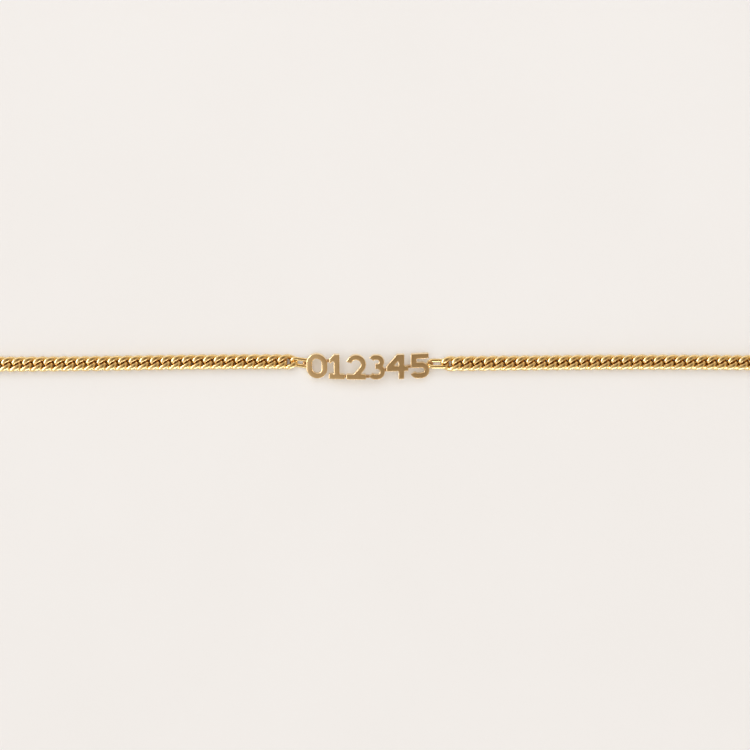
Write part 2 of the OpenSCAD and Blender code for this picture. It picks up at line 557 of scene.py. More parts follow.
def clean(piece: bpy.types.Object, gap: float = DOUBLED) -> None:
    """Merge an object's doubled vertices and point its faces outwards.

    Args:
        piece: The object.
        gap: The distance below which two vertices count as one, in metres.
    """
    with editing(piece):
        bpy.ops.mesh.remove_doubles(threshold=gap)
        bpy.ops.mesh.normals_make_consistent(inside=False)


def smooth(piece: bpy.types.Object, angle: float = SMOOTHED) -> None:
    """Shade an object smooth across edges flatter than an angle in degrees."""
    select_only(piece)
    bpy.ops.object.shade_smooth_by_angle(angle=math.radians(angle))


def joined(name: str, pieces: Sequence[bpy.types.Object]) -> bpy.types.Object:
    """Join objects into one.

    Args:
        name: The name of the joined object.
        pieces: The objects.

    Returns:
        The joined object.
    """
    select_only(*pieces)
    bpy.ops.object.join()
    return added(name)


def bent(piece: bpy.types.Object, shape: Callable[[Vector], Vector]) -> None:
    """Move every vertex of an object by a formula in millimetres."""
    for vertex in piece.data.vertices:
        vertex.co = shape(vertex.co / MM) * MM


def dressed(piece: bpy.types.Object, material: bpy.types.Material, slot: Slot,
            stands_for: Node | None = None) -> None:
    """Give a finished piece its material, hang it under the root and hide the node that it replaces.

    Args:
        piece: The finished object.
        material: Its material.
        slot: The record's slot that the piece belongs to; not used.
        stands_for: The node that it replaces, if any.
    """
    if not piece.data.materials:
        piece.data.materials.append(material)
    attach(piece, "root")
    if stands_for is not None:
        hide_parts(stands_for.value)
    log.info("%s: %d faces", piece.name, len(piece.data.polygons))


# Wire rings


@dataclass
class OvalRing:
    """An oval ring of round wire, measured in millimetres over its outside.

    Attributes:
        length: Its length.
        width: Its width.
        wire: The thickness of its wire.
        lean: The angle that it leans by about its length, in degrees.
        seam: How much the solder of the seam thickens the wire.
        seam_width: How far the solder reaches along it.
        stations: The number of steps round the ring.
        sides: The number of sides of the wire.
    """

    length: float
    width: float
    wire: float
    lean: float
    seam: float = 0.02
    seam_width: float = 0.16
    stations: int = 70
    sides: int = 16

    def build(self, name: str, centre: Vector, turn: float = 0.0) -> bpy.types.Object:
        """Model the ring.

        Args:
            name: The object's name.
            centre: The ring's middle.
            turn: The angle that it is turned by about Z, in degrees.

        Returns:
            The ring.
        """
        half_round = (self.width - self.wire) / 2
        straight = (self.length - self.width) / 2
        select_only()
        bpy.ops.mesh.primitive_torus_add(major_segments=self.stations, minor_segments=self.sides,
                                         major_radius=half_round * MM, minor_radius=self.wire / 2 * MM)
        ring = added(name)
        bent(ring, lambda p: self._soldered(p + Vector((math.copysign(straight, p.x), 0, 0)), half_round))
        smooth(ring)
        lie = rotation(turn, "Z") @ rotation(self.lean, "X")
        return settle(ring, Matrix.Translation(centre * MM) @ lie)

    def _soldered(self, point: Vector, half_round: float) -> Vector:
        """Swell the wire a little at the seam in one straight side.

        Args:
            point: A point of the ring's surface.
            half_round: The radius of the middle of its wire.

        Returns:
            The point in its new place.
        """
        if point.y < 0:
            return point
        core = Vector((point.x, half_round, 0))
        swell = self.seam * math.exp(-((point.x / self.seam_width) ** 2))
        return point + (point - core).normalized() * swell


# The two chains


@dataclass
class CurbLink:
    """One link of a curb chain: a superellipse of wire whose ends are twisted opposite ways.

    Sizes are in millimetres and angles in degrees.

    Attributes:
        reach: Half the length of the wire's middle line.
        half_width: Half its width.
        wire: The thickness of the wire.
        twist: The angle by which each end is twisted.
        roundness: The power of the superellipse.
        twist_power: How evenly the twist is spread, 1 being evenly.
        height: The height that the link is pressed to.
        stations: The number of steps round the link.
        crowding: How much the steps crowd where the superellipse crosses its axes, which
            spaces them evenly along the wire.
        sides: The number of sides of the wire.
    """

    reach: float = 1.08
    half_width: float = 0.70
    wire: float = 0.70
    twist: float = 54.0
    roundness: float = 3.2
    twist_power: float = 0.7
    height: float = 1.331
    stations: int = 48
    crowding: float = 0.8
    sides: int = 14

    def spine(self, turn: float) -> Vector:
        """The middle of the wire at an angle round the link.

        Args:
            turn: The angle, in radians.

        Returns:
            The point.
        """
        along = self._power(math.cos(turn), 2 / self.roundness)
        across = self._power(math.sin(turn), 2 / self.roundness) * self.half_width
        lean = -math.radians(self.twist) * self._power(along, self.twist_power)
        return Vector((self.reach * along, across * math.cos(lean), across * math.sin(lean)))

    @staticmethod
    def _power(value: float, power: float) -> float:
        """A power that keeps the sign."""
        return math.copysign(abs(value) ** power, value)

    def build(self, name: str, crevice: str) -> bpy.types.Object:
        """Model the link around the origin.

        Args:
            name: The object's name.
            crevice: The name of the attribute that holds how far inside each vertex lies.

        Returns:
            The link.
        """
        select_only()
        start_radius = 1.0
        bpy.ops.mesh.primitive_torus_add(major_segments=self.stations, minor_segments=self.sides,
                                         major_radius=start_radius, minor_radius=start_radius / 4)
        link = added(name)
        depths = []
        for vertex in link.data.vertices:
            turn = math.atan2(vertex.co.y, vertex.co.x)
            turn -= self.crowding * math.sin(4 * turn) / 4
            round_wire = math.atan2(vertex.co.z, math.hypot(vertex.co.x, vertex.co.y) - start_radius)
            # How far round towards the link's middle the vertex lies; the chain gold paints shade by this.
            depths.append(0.5 - 0.5 * math.cos(round_wire))
            vertex.co = self._on_wire(turn, round_wire) * MM
        pressed = self.height * MM / (2 * max(vertex.co.z for vertex in link.data.vertices))
        link.data.transform(Matrix.Diagonal((1, 1, pressed, 1)))
        layer = link.data.attributes.new(crevice, "FLOAT", "POINT")
        layer.data.foreach_set("value", depths)
        clean(link, DOUBLED / 10)
        smooth(link, ROUNDED)
        return link

    def _on_wire(self, turn: float, round_wire: float) -> Vector:
        """A point on the wire's surface.

        Args:
            turn: The angle round the link, in radians.
            round_wire: The angle round the wire.

        Returns:
            The point.
        """
        step = 0.01
        here = self.spine(turn)
        along = (self.spine(turn + step) - self.spine(turn - step)).normalized()
        out = (here - here.dot(along) * along).normalized()
        across = math.cos(round_wire) * out + math.sin(round_wire) * along.cross(out)
        return here + self.wire / 2 * across


@dataclass
class CurbChain:
    """A run of curb links that lies in a slight wave.

    Attributes:
        node: The node that it replaces.
        side: The side of the plate that it leaves on.
        count: The number of links.
        swing: How far the wave reaches across.
        crest: Where the wave has its crest, from the plate's middle.
        pitch: The distance from one link to the next.
        wave: The length of the wave.
        jitter: How far a link may be turned from its neighbours, in degrees.
        solid_half: Half the length of a link's solid in the frame.
        link: The link.
    """

    node: Node
    side: Side
    count: int
    swing: float
    crest: float
    pitch: float = 1.43
    wave: float = 72.0
    jitter: float = 1.2
    solid_half: float = 1.371
    link: CurbLink = field(default_factory=CurbLink)

    def lay(self, x: float) -> float:
        """How far across the chain lies at a place along it."""
        return self.swing * math.cos(math.tau * (abs(x) - self.crest) / self.wave)

    def places(self) -> Iterable[Matrix]:
        """The place of each link, outwards from the plate.

        Yields:
            The matrix that carries a link to its place.
        """
        low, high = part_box(self.node.value)
        inner = high.x if self.side is Side.LEFT else low.x
        first = inner / MM + self.side.value * self.solid_half
        height = (low.z + high.z) / 2 / MM
        wobble = random.Random(self.node.value)
        for i in range(self.count):
            x = first + self.side.value * i * self.pitch
            slope = self.lay(x + 0.5) - self.lay(x - 0.5)
            roll = wobble.uniform(-self.jitter, self.jitter)
            yaw = math.degrees(math.atan(slope)) + wobble.uniform(-self.jitter, self.jitter)
            lie = rotation(yaw, "Z") @ rotation(roll, "X")
            yield Matrix.Translation(Vector((x, self.lay(x), height)) * MM) @ lie

    def build(self, material: bpy.types.Material) -> None:
        """Model one link, copy it along the run and join the copies.

        Args:
            material: The chain's gold.
        """
        model = self.link.build("link", CHAIN_GOLD.crevice)
        links = []
        for place in self.places():
            copy = bpy.data.objects.new("link", model.data.copy())
            bpy.context.collection.objects.link(copy)
            copy.data.transform(place)
            links.append(copy)
        bpy.data.objects.remove(model)
        run = joined(f"{self.node.value}_links", links)
        dressed(run, material, Slot.CHAIN, self.node)


# The plate


class Outline:
    """A closed outline in millimetres, drawn with straight lines and arcs.

    Attributes:
        arc_step: The angle of one step along an arc, in degrees.
        least_corner: The smallest turn that counts as a corner, in degrees.
        reach_share: The share of a line that the rounding of a corner may take.
        corner_points: The number of points on a rounded corner.
        points: The outline's points.
    """

    arc_step: int = 6
    least_corner: int = 20
    reach_share: float = 0.45
    corner_points: int = 4

    def __init__(self, x: float, y: float) -> None:
        """Start at a point."""
        self.points = [Vector((x, y))]

    def to(self, *points: Pair) -> "Outline":
        """Go on in straight lines."""
        self.points += [Vector(p) for p in points]
        return self

    def arc(self, centre: Pair, radius: float, start: float, end: float) -> "Outline":
        """Go on to an arc and along it.

        Args:
            centre: The arc's centre.
            radius: Its radius.
            start: The angle where it starts, in degrees.
            end: The angle where it ends, either way round.

        Returns:
            The outline.
        """
        steps = max(2, math.ceil(abs(end - start) / self.arc_step))
        for i in range(steps + 1):
            angle = math.radians(start + (end - start) * i / steps)
            self.points.append(Vector(centre) + radius * Vector((math.cos(angle), math.sin(angle))))
        return self

    def loop(self, rounding: float) -> list[Vector]:
        """The outline's points, with the corners between long straight lines rounded.

        Args:
            rounding: The radius at those corners.

        Returns:
            The points, none doubled.
        """
        doubled = DOUBLED / MM
        points = [p for i, p in enumerate(self.points) if (p - self.points[i - 1]).length > doubled]
        made = []
        for i, here in enumerate(points):
            before = points[i - 1] - here
            after = points[(i + 1) % len(points)] - here
            turn = math.pi - before.angle(after)
            reach = rounding * math.tan(turn / 2)
            most = self.reach_share * min(before.length, after.length)
            if turn < math.radians(self.least_corner) or reach > most:
                made.append(here)
                continue
            start, end = here + before.normalized() * reach, here + after.normalized() * reach
            for k in range(self.corner_points):
                share = k / (self.corner_points - 1)
                made.append(start.lerp(here, share).lerp(here.lerp(end, share), share))
        return made


@dataclass
class Digits:
    """The six plain digits that the plate is cut out as, in millimetres.

    Attributes:
        height: Their height.
        stem: The width of their upright strokes.
        bar: The width of their level strokes and bowls.
        widths: The width of each digit.
        gap: The gap between two digits.
    """

    height: float = 3.4
    stem: float = 0.76
    bar: float = 0.68
    widths: tuple[float, ...] = (2.8, 2.15, 2.65, 2.35, 2.95, 2.65)
    gap: float = 0.2

    @property
    def length(self) -> float:
        """The length over all the digits."""
        return sum(self.widths) + self.gap * (len(self.widths) - 1)

    def start(self, digit: int) -> float:
        """Where a digit starts, from the left end."""
        return sum(self.widths[:digit]) + self.gap * digit

    def outlines(self, digit: int) -> list[Outline]:
        """The outline of a digit, and of its hole if it has one."""
        draw = (self.nought, self.one, self.two, self.three, self.four, self.five)
        return draw[digit]()

    def nought(self) -> list[Outline]:
        """An upright ring with round ends.

        Returns:
            The digit's outline and its hole's.
        """
        wide, high = self.widths[0], self.height
        rings = []
        for inset_x, inset_y in ((0.0, 0.0), (self.stem, self.bar)):
            r = wide / 2 - inset_x
            x = wide / 2
            ring = Outline(x - r, high - inset_y - r).to((x - r, inset_y + r))
            rings.append(ring.arc((x, inset_y + r), r, 180, 360).arc((x, high - inset_y - r), r, 0, 180))
        return rings

    def one(self) -> list[Outline]:
        """A stem with a flag and a foot.

        Returns:
            The digit's outline.
        """
        wide, high, bar = self.widths[1], self.height, self.bar
        left, right = (wide - self.stem) / 2, (wide + self.stem) / 2
        tip, drop, flag_drop = 0.1, 0.65, 0.2
        return [Outline(0, 0).to((wide, 0), (wide, bar), (right, bar), (right, high), (left, high),
                                 (tip, high - drop), (tip, high - drop - bar),
                                 (left, high - bar - flag_drop), (left, bar), (0, bar))]

    def two(self) -> list[Outline]:
        """An open curve, a slope and a foot.

        Returns:
            The digit's outline.
        """
        wide, bar = self.widths[2], self.bar
        r, lean, end = wide / 2, 40, 165
        centre = Vector((r, self.height - r))
        away = Vector((math.cos(math.radians(lean)), -math.sin(math.radians(lean))))
        down = Vector((away.y, -away.x))
        outer, inner = centre + r * away, centre + (r - bar) * away
        outer_foot = outer + down * (outer.y - bar) / -down.y
        inner_foot = inner + down * (inner.y - bar) / -down.y
        shape = Outline(0, 0).to((wide, 0), (wide, bar), tuple(outer_foot))
        shape.arc(tuple(centre), r, -lean, end).arc(tuple(centre), r - bar, end, -lean)
        return [shape.to(tuple(inner_foot), (0, bar))]

    def three(self) -> list[Outline]:
        """Two bowls, open on the left.

        Returns:
            The digit's outline.
        """
        wide, high, bar = self.widths[3], self.height, self.bar
        low_r, inset, tail = 1.06, 0.1, 55
        top_r = (high + bar) / 2 - low_r
        low, top = (wide - low_r, low_r), (wide - inset - top_r, high - top_r)
        low_tail, top_tail = (low_r, low_r), (inset + top_r, high - top_r)
        waist = (2 * low_r - bar + high - 2 * top_r + bar) / 2
        low_end = math.degrees(math.asin((waist - low[1]) / low_r))
        top_start = math.degrees(math.asin((waist - top[1]) / top_r))
        shape = Outline(*self._on(low_tail, low_r, -90 - tail))
        shape.arc(low_tail, low_r, -90 - tail, -90).arc(low, low_r, -90, low_end)
        shape.arc(top, top_r, top_start, 90).arc(top_tail, top_r, 90, 90 + tail)
        shape.arc(top_tail, top_r - bar, 90 + tail, 90).arc(top, top_r - bar, 90, -90)
        shape.to((low_r, high - 2 * top_r + bar), (low_r, 2 * low_r - bar))
        return [shape.arc(low, low_r - bar, 90, -90).arc(low_tail, low_r - bar, -90, -90 - tail)]

    def four(self) -> list[Outline]:
        """A slope, a crossbar and a stem.

        Returns:
            The digit's outline and its hole's.
        """
        wide, high, bar = self.widths[4], self.height, self.bar
        foot_inset, level, apex_inset, hole_inset = 0.55, 1.1, 0.26, 0.05
        right = wide - foot_inset
        left = right - self.stem
        apex, shoulder = left - apex_inset, level + bar
        rise = (high - shoulder) / apex
        hole = bar * math.sqrt(1 + 1 / rise ** 2) + hole_inset
        body = Outline(0, level).to((left, level), (left, 0), (right, 0), (right, level), (wide, level),
                                    (wide, shoulder), (right, shoulder), (right, high), (apex, high),
                                    (0, shoulder))
        peak = shoulder + (left - hole) * rise
        return [body, Outline(hole, shoulder).to((left, shoulder), (left, peak))]

    def five(self) -> list[Outline]:
        """A flag, a stem and a bowl, open on the left.

        Returns:
            The digit's outline.
        """
        wide, high, bar = self.widths[5], self.height, self.bar
        r, inset, tail = 1.08, 0.12, 60
        bowl, turned = (wide - r, r), (r, r)
        left = inset + self.stem
        shape = Outline(*self._on(turned, r, -90 - tail)).arc(turned, r, -90 - tail, -90)
        shape.arc(bowl, r, -90, 90).to((left, 2 * r), (left, high - bar), (wide - inset, high - bar),
                                       (wide - inset, high), (inset, high), (inset, 2 * r - bar))
        return [shape.arc(bowl, r - bar, 90, -90).arc(turned, r - bar, -90, -90 - tail)]

    @staticmethod
    def _on(centre: Pair, radius: float, angle: float) -> Pair:
        """A point on a circle, at an angle in degrees."""
        turn = math.radians(angle)
        return centre[0] + radius * math.cos(turn), centre[1] + radius * math.sin(turn)


@dataclass
class Bead:
    """A bead of solder, in millimetres.

    Attributes:
        diameter: Its diameter.
        offset: How far past the plate's end its middle lies, as a share of the diameter.
        levels: How finely its ball is divided.
        lump: The height of its broad lumps, as a share of the radius.
        lump_pace: How closely they follow each other along and across the bracelet.
        lump_start: Where they start.
        ripple: The height of its finer lumps.
        ripple_pace: How closely those follow each other.
    """

    diameter: float = 0.74
    offset: float = 1 / 6
    levels: int = 4
    lump: float = 0.05
    lump_pace: Pair = (9.0, 8.0)
    lump_start: float = 4.0
    ripple: float = 0.03
    ripple_pace: float = 11.0

    def build(self, name: str, centre: Vector) -> bpy.types.Object:
        """Model the bead.

        Args:
            name: The object's name.
            centre: The bead's middle.

        Returns:
            The bead.
        """
        select_only()
        bpy.ops.mesh.primitive_ico_sphere_add(subdivisions=self.levels, radius=self.diameter / 2 * MM)
        bead = added(name)
        bent(bead, self._lumpy)
        smooth(bead, ROUNDED)
        return settle(bead, Matrix.Translation(centre * MM))

    def _lumpy(self, point: Vector) -> Vector:
        """Give the bead the slight lumps that solder sets with.

        Args:
            point: A point of the round bead.

        Returns:
            The point in its new place.
        """
        along, across = self.lump_pace
        lump = self.lump * math.sin(along * point.x + self.lump_start) * math.cos(across * point.y)
        ripple = self.ripple * math.sin(self.ripple_pace * point.z)
        return point * (1 + lump + ripple)


@dataclass
class Nameplate:
    """The cut-out plate with its ties, its oval rings and their solder, in millimetres.

    Attributes:
        thickness: The sheet's thickness.
        edge: The radius of its rounded edges.
        edge_steps: How finely those edges are rounded.
        rounding: The radius of the digits' corners.
        crease: The angle in degrees past which an edge stays sharp.
        arch_radius: The radius that the plate is bent to.
        lean: The angle in degrees by which it leans, upper edge raised.
        place: Where the point midway between the undersides of its ends lies.
        tie_levels: The height of each tie's middle above the digits' feet.
        tie_height: The height of a tie.
        tie_bite: How far a tie reaches into a digit.
        tie_recess: How far a tie lies below the face.
        tie_edge: The width of its bevels.
        strip: The width of the strips that follow the arch.
        sliver: The gap that is closed after the strips are cut.
        left_turn: The angle that the left ring is turned by, in degrees.
        digits: The digits.
        ring: The oval ring at each end.
        bead: The bead of solder that holds a ring.
    """

    thickness: float = 0.85
    edge: float = 0.09
    edge_steps: int = 3
    rounding: float = 0.13
    crease: float = 30.0
    arch_radius: float = 36.0
    lean: float = 15.0
    place: Triple = (0.0, -0.15, 0.3)
    tie_levels: tuple[float, ...] = (2.42, 0.34, 0.37, 1.27, 1.63)
    tie_height: float = 0.3
    tie_bite: float = 0.3
    tie_recess: float = 0.1
    tie_edge: float = 0.06
    strip: float = 0.35
    sliver: float = 0.003
    left_turn: float = -8.0
    digits: Digits = field(default_factory=Digits)
    ring: OvalRing = field(
        default_factory=lambda: OvalRing(length=3.0, width=1.65, wire=0.48, lean=42.0))
    bead: Bead = field(default_factory=Bead)

    def cut_digit(self, digit: int) -> bpy.types.Object:
        """Cut one digit from flat sheet, with rounded edges.

        Args:
            digit: The digit.

        Returns:
            The digit, lying flat.
        """
        select_only()
        bpy.ops.object.add(type="CURVE")
        piece = added(f"digit_{digit}")
        sheet = piece.data
        sheet.dimensions = "2D"
        sheet.fill_mode = "BOTH"
        sheet.extrude = (self.thickness / 2 - self.edge) * MM
        sheet.bevel_depth = self.edge * MM
        sheet.bevel_resolution = self.edge_steps
        sheet.offset = -self.edge * MM
        for outline in self.digits.outlines(digit):
            loop = outline.loop(self.rounding)
            spline = sheet.splines.new("POLY")
            spline.points.add(len(loop) - 1)
            for point, place in zip(spline.points, loop):
                point.co = (place.x * MM, place.y * MM, 0.0, 1.0)
            spline.use_cyclic_u = True
        bpy.ops.object.convert(target="MESH")
        start = Vector((self.digits.start(digit) - self.digits.length / 2, -self.digits.height / 2, 0))
        return settle(piece, Matrix.Translation(start * MM))

    def tie(self, number: int) -> bpy.types.Object:
        """Model the small tie after a digit, a little below the face.

        Args:
            number: The digit.

        Returns:
            The tie, lying flat.
        """
        middle = self.digits.start(number + 1) - self.digits.gap / 2 - self.digits.length / 2
        level = self.tie_levels[number] - self.digits.height / 2
        length = self.digits.gap + 2 * self.tie_bite
        place = Vector((middle, level, -self.tie_recess / 2))
        size = Vector((length, self.tie_height, self.thickness - self.tie_recess))
        select_only()
        bpy.ops.mesh.primitive_cube_add(size=1, location=place * MM, scale=size * MM)
        piece = settle(added(f"tie_{number}"))
        apply_modifier(piece, "BEVEL", width=self.tie_edge * MM, segments=BEVEL_STEPS)
        return piece

    def arch(self, point: Vector) -> Vector:
        """Carry a point of the flat sheet onto the curved one.

        Args:
            point: The point.

        Returns:
            The point in its new place.
        """
        half = self.digits.length / 2
        axis = -math.sqrt(self.arch_radius ** 2 - half ** 2)
        radius = self.arch_radius + self.thickness / 2 + point.z
        return Vector((point.x, point.y, math.sqrt(radius ** 2 - point.x ** 2) + axis))

    def cut_strips(self, piece: bpy.types.Object) -> None:
        """Cut a flat piece across at even steps, so that it can follow the arch.

        Args:
            piece: The flat piece.
        """
        half = self.digits.length / 2
        with editing(piece):
            for i in range(1, round(2 * half / self.strip)):
                bpy.ops.mesh.select_all(action="SELECT")
                bpy.ops.mesh.bisect(plane_co=((i * self.strip - half) * MM, 0, 0), plane_no=(1, 0, 0))

    def shaped(self, piece: bpy.types.Object) -> bpy.types.Object:
        """Arch a flat piece, lean it and put it in its place.

        Args:
            piece: The flat piece.

        Returns:
            The finished piece.
        """
        clean(piece)
        self.cut_strips(piece)
        clean(piece, self.sliver * MM)
        bent(piece, self.arch)
        settle(piece, Matrix.Translation(Vector(self.place) * MM) @ rotation(self.lean, "X"))
        smooth(piece, self.crease)
        apply_modifier(piece, "WEIGHTED_NORMAL", keep_sharp=True)
        return piece

    def build(self, gold: bpy.types.Material, polished: bpy.types.Material,
              solder: bpy.types.Material) -> None:
        """Model the whole plate.

        Args:
            gold: The plate's satin gold.
            polished: The rings' polished gold.
            solder: The brown solder of the ties and the rings' joints.
        """
        digits = [self.cut_digit(i) for i in range(len(self.digits.widths))]
        dressed(self.shaped(joined("plate_digits", digits)), gold, Slot.PLATE, Node.PLATE)
        ties = [self.tie(i) for i in range(len(self.tie_levels))]
        dressed(self.shaped(joined("plate_ties", ties)), solder, Slot.PLATE)
        low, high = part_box(Node.PLATE.value)
        half = self.ring.length / 2
        ends = {Side.LEFT: (low.x / MM + half, self.left_turn), Side.RIGHT: (high.x / MM - half, 0.0)}
        for side, (x, turn) in ends.items():
            self.solder_ring(side, x, turn, polished, solder)

    def solder_ring(self, side: Side, x: float, turn: float, polished: bpy.types.Material,
                    solder: bpy.types.Material) -> None:
        """Model the oval ring at one end and the bead that holds it.

        Args:
            side: The end.
            x: Where the ring's middle lies along the bracelet.
            turn: The angle that the ring is turned by, in degrees.
            polished: The ring's gold.
            solder: The bead's solder.
        """
        height = self.ring_height()
        angle = math.radians(turn)
        tip = x + side.value * self.ring.length / 2
        y = CHAINS[side].lay(tip) + math.sin(angle) * (self.ring.length - self.ring.width) / 2
        ring = replace(self.ring, lean=-side.value * self.ring.lean)
        made = ring.build(f"plate_ring_{side.name.lower()}", Vector((x, y, height)), turn)
        dressed(made, polished, Slot.PLATE)
        bead_x = side.value * (self.digits.length / 2 + self.bead.diameter * self.bead.offset)
        bead_y = y + math.tan(angle) * (bead_x - x)
        bead = self.bead.build(f"plate_solder_{side.name.lower()}", Vector((bead_x, bead_y, height)))
        dressed(bead, solder, Slot.PLATE)

    def ring_height(self) -> float:
        """The height of the chains' middle, where the rings lie."""
        low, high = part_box(Node.LEFT.value)
        return (low.z + high.z) / 2 / MM


CHAINS = {
    Side.LEFT: CurbChain(Node.LEFT, Side.LEFT, count=53, swing=0.17, crest=14.0),
    Side.RIGHT: CurbChain(Node.RIGHT, Side.RIGHT, count=50, swing=0.12, crest=38.0),
}


# The clasp and the end ring


@dataclass
class SpringClasp:
    """A spring ring with its gate, lever and eye, in millimetres and degrees.

    Attributes:
        diameter: The ring's outer diameter.
        wire: The thickness of its tube.
        wire_sides: The number of sides of the tube and of the gate.
        arc_step: The angle of one step along them.
        lip: The width of the bevel at their ends.
        gate_wire: The gate's thickness.
        gate_start: The angle where the ring's opening starts.
        gate_end: The angle where it ends.
        gate_bite: The angle by which the gate reaches into the ring's tube at each end.
        slot_start: The angle where the lever's slot starts.
        slot_end: The angle where it ends.
        slot_width: The slot's width.
        slot_depth: The depth of the slot's cutter, half of which is outside the tube.
        lever_angle: The angle where the lever stands.
        lever_profile: The lever's turned profile, as distances along it and radii.
        lever_tip: How far its round end reaches past the profile.
        lever_sides: The number of its sides.
        eye_diameter: The eye's outer diameter.
        eye_wire: The thickness of its wire.
        eye_lean: The angle that it leans by.
        eye_foot: The share by which solder thickens the wire at its foot.
        eye_wear: The share by which the link has thinned it.
        eye_spread: How far foot and wear reach round it, in radians.
        eye_steps: The numbers of steps round the eye and round its wire.
    """

    diameter: float = 5.2
    wire: float = 0.95
    wire_sides: int = 28
    arc_step: float = 3.0
    lip: float = 0.05
    gate_wire: float = 0.6
    gate_start: float = -14.0
    gate_end: float = 34.0
    gate_bite: float = 4.0
    slot_start: float = 58.0
    slot_end: float = 96.0
    slot_width: float = 0.26
    slot_depth: float = 0.5
    lever_angle: float = 62.0
    lever_profile: tuple[Pair, ...] = (
        (0.0, 0.12), (0.03, 0.19), (0.1, 0.21), (0.42, 0.21), (0.54, 0.195), (0.62, 0.172), (0.69, 0.165),
        (0.76, 0.178), (0.81, 0.214), (0.86, 0.241), (0.93, 0.25), (1.01, 0.25), (1.1, 0.228),
        (1.165, 0.176), (1.205, 0.1))
    lever_tip: float = 0.02
    lever_sides: int = 28
    eye_diameter: float = 2.0
    eye_wire: float = 0.4
    eye_lean: float = 35.0
    eye_foot: float = 0.32
    eye_wear: float = 0.14
    eye_spread: float = 0.5
    eye_steps: tuple[int, int] = (64, 18)

    @property
    def radius(self) -> float:
        """The radius to the middle of the ring's wire."""
        return (self.diameter - self.wire) / 2

    def centre(self) -> Vector:
        """The middle of the ring, from its node's box.

        Returns:
            The point.
        """
        low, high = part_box(Node.CLASP.value)
        across = CHAINS[Side.RIGHT].lay(low.x / MM + self.eye_diameter / 2)
        return Vector((high.x / MM - self.diameter / 2, across, self.wire / 2))

    def arc_of_wire(self, name: str, wire: float, start: float, end: float) -> bpy.types.Object:
        """Spin a round wire along an arc of the ring and close its ends.

        Args:
            name: The object's name.
            wire: The thickness of the wire.
            start: The angle where it starts, in degrees.
            end: The angle where it ends.

        Returns:
            The wire.
        """
        select_only()
        turn, span = math.radians(start), math.radians(end - start)
        place = Vector((self.radius * math.cos(turn), self.radius * math.sin(turn), 0))
        bpy.ops.mesh.primitive_circle_add(vertices=self.wire_sides, radius=wire / 2 * MM, fill_type="NGON",
                                          location=place * MM, rotation=(math.pi / 2, 0, turn))
        piece = settle(added(name))
        with editing(piece):
            bpy.ops.mesh.spin(steps=round((end - start) / self.arc_step), angle=span, center=(0, 0, 0),
                              axis=(0, 0, -1))
        clean(piece)
        apply_modifier(piece, "BEVEL", width=self.lip * MM, segments=BEVEL_STEPS, limit_method="ANGLE",
                       angle_limit=math.radians(ROUNDED))
        return piece

    def tube(self) -> bpy.types.Object:
        """Model the ring with the slot that its lever slides in.

        Returns:
            The ring, round the origin.
        """
        piece = self.arc_of_wire("clasp_tube", self.wire, self.gate_end, self.gate_start + 360)
        outer = self.diameter / 2
        middle = (self.slot_start + self.slot_end) / 2
        span = math.radians(self.slot_end - self.slot_start) * outer
        size = Vector((self.slot_depth, span, self.slot_width))
        select_only()
        bpy.ops.mesh.primitive_cube_add(size=1, scale=size * MM)
        cutter = settle(added("slot_cutter"))
        settle(cutter, rotation(middle, "Z") @ Matrix.Translation((outer * MM, 0, 0)))
        apply_modifier(piece, "BOOLEAN", operation="DIFFERENCE", object=cutter, solver="EXACT")
        bpy.data.objects.remove(cutter)
        smooth(piece)
        return piece

    def lever(self) -> bpy.types.Object:
        """Model the thumb lever: a turned pin with a waist, a collar and a round head.

        Returns:
            The lever, in its slot in a ring round the origin.
        """
        select_only()
        bpy.ops.mesh.primitive_uv_sphere_add(segments=self.lever_sides, radius=MM,
                                             ring_count=len(self.lever_profile) + 1)
        lever = added("clasp_lever")
        bent(lever, self._turned)
        smooth(lever)
        outwards = Matrix.Translation((self.radius * MM, 0, 0))
        return settle(lever, rotation(self.lever_angle, "Z") @ outwards)

    def _turned(self, point: Vector) -> Vector:
        """Carry a point of a ball of radius 1 to the lever's profile, ring by ring.

        Args:
            point: The point of the ball.

        Returns:
            The point of the lever.
        """
        last = len(self.lever_profile)
        from_foot = math.acos(max(-1.0, min(1.0, -point.z))) / math.pi
        ring = round(from_foot * (last + 1)) - 1
        if ring < 0:
            return Vector((self.lever_profile[0][0], 0, 0))
        if ring == last:
            return Vector((self.lever_profile[-1][0] + self.lever_tip, 0, 0))
        along, radius = self.lever_profile[ring]
        across = Vector((0, point.x, point.y)).normalized()
        return Vector((along, 0, 0)) + across * radius

    def _footed(self, point: Vector) -> Vector:
        """Swell the eye's wire where it is soldered to the ring, and thin it where the link rubs.

        Args:
            point: A point of the even eye.

        Returns:
            The point in its new place.
        """
        around = math.atan2(point.y, point.x)
        core = Vector((math.cos(around), math.sin(around), 0)) * (self.eye_diameter - self.eye_wire) / 2
        foot = self.eye_foot * math.exp(-((around / self.eye_spread) ** 2))
        wear = self.eye_wear * math.exp(-(((math.pi - abs(around)) / self.eye_spread) ** 2))
        return core + (point - core) * (1 + foot - wear)

    def eye(self) -> bpy.types.Object:
        """Model the soldered eye that the chain's last link passes through.

        Returns:
            The eye, flat round the origin.
        """
        select_only()
        around, sides = self.eye_steps
        bpy.ops.mesh.primitive_torus_add(major_segments=around, minor_segments=sides,
                                         major_radius=(self.eye_diameter - self.eye_wire) / 2 * MM,
                                         minor_radius=self.eye_wire / 2 * MM)
        eye = added("clasp_eye")
        bent(eye, self._footed)
        smooth(eye)
        return eye

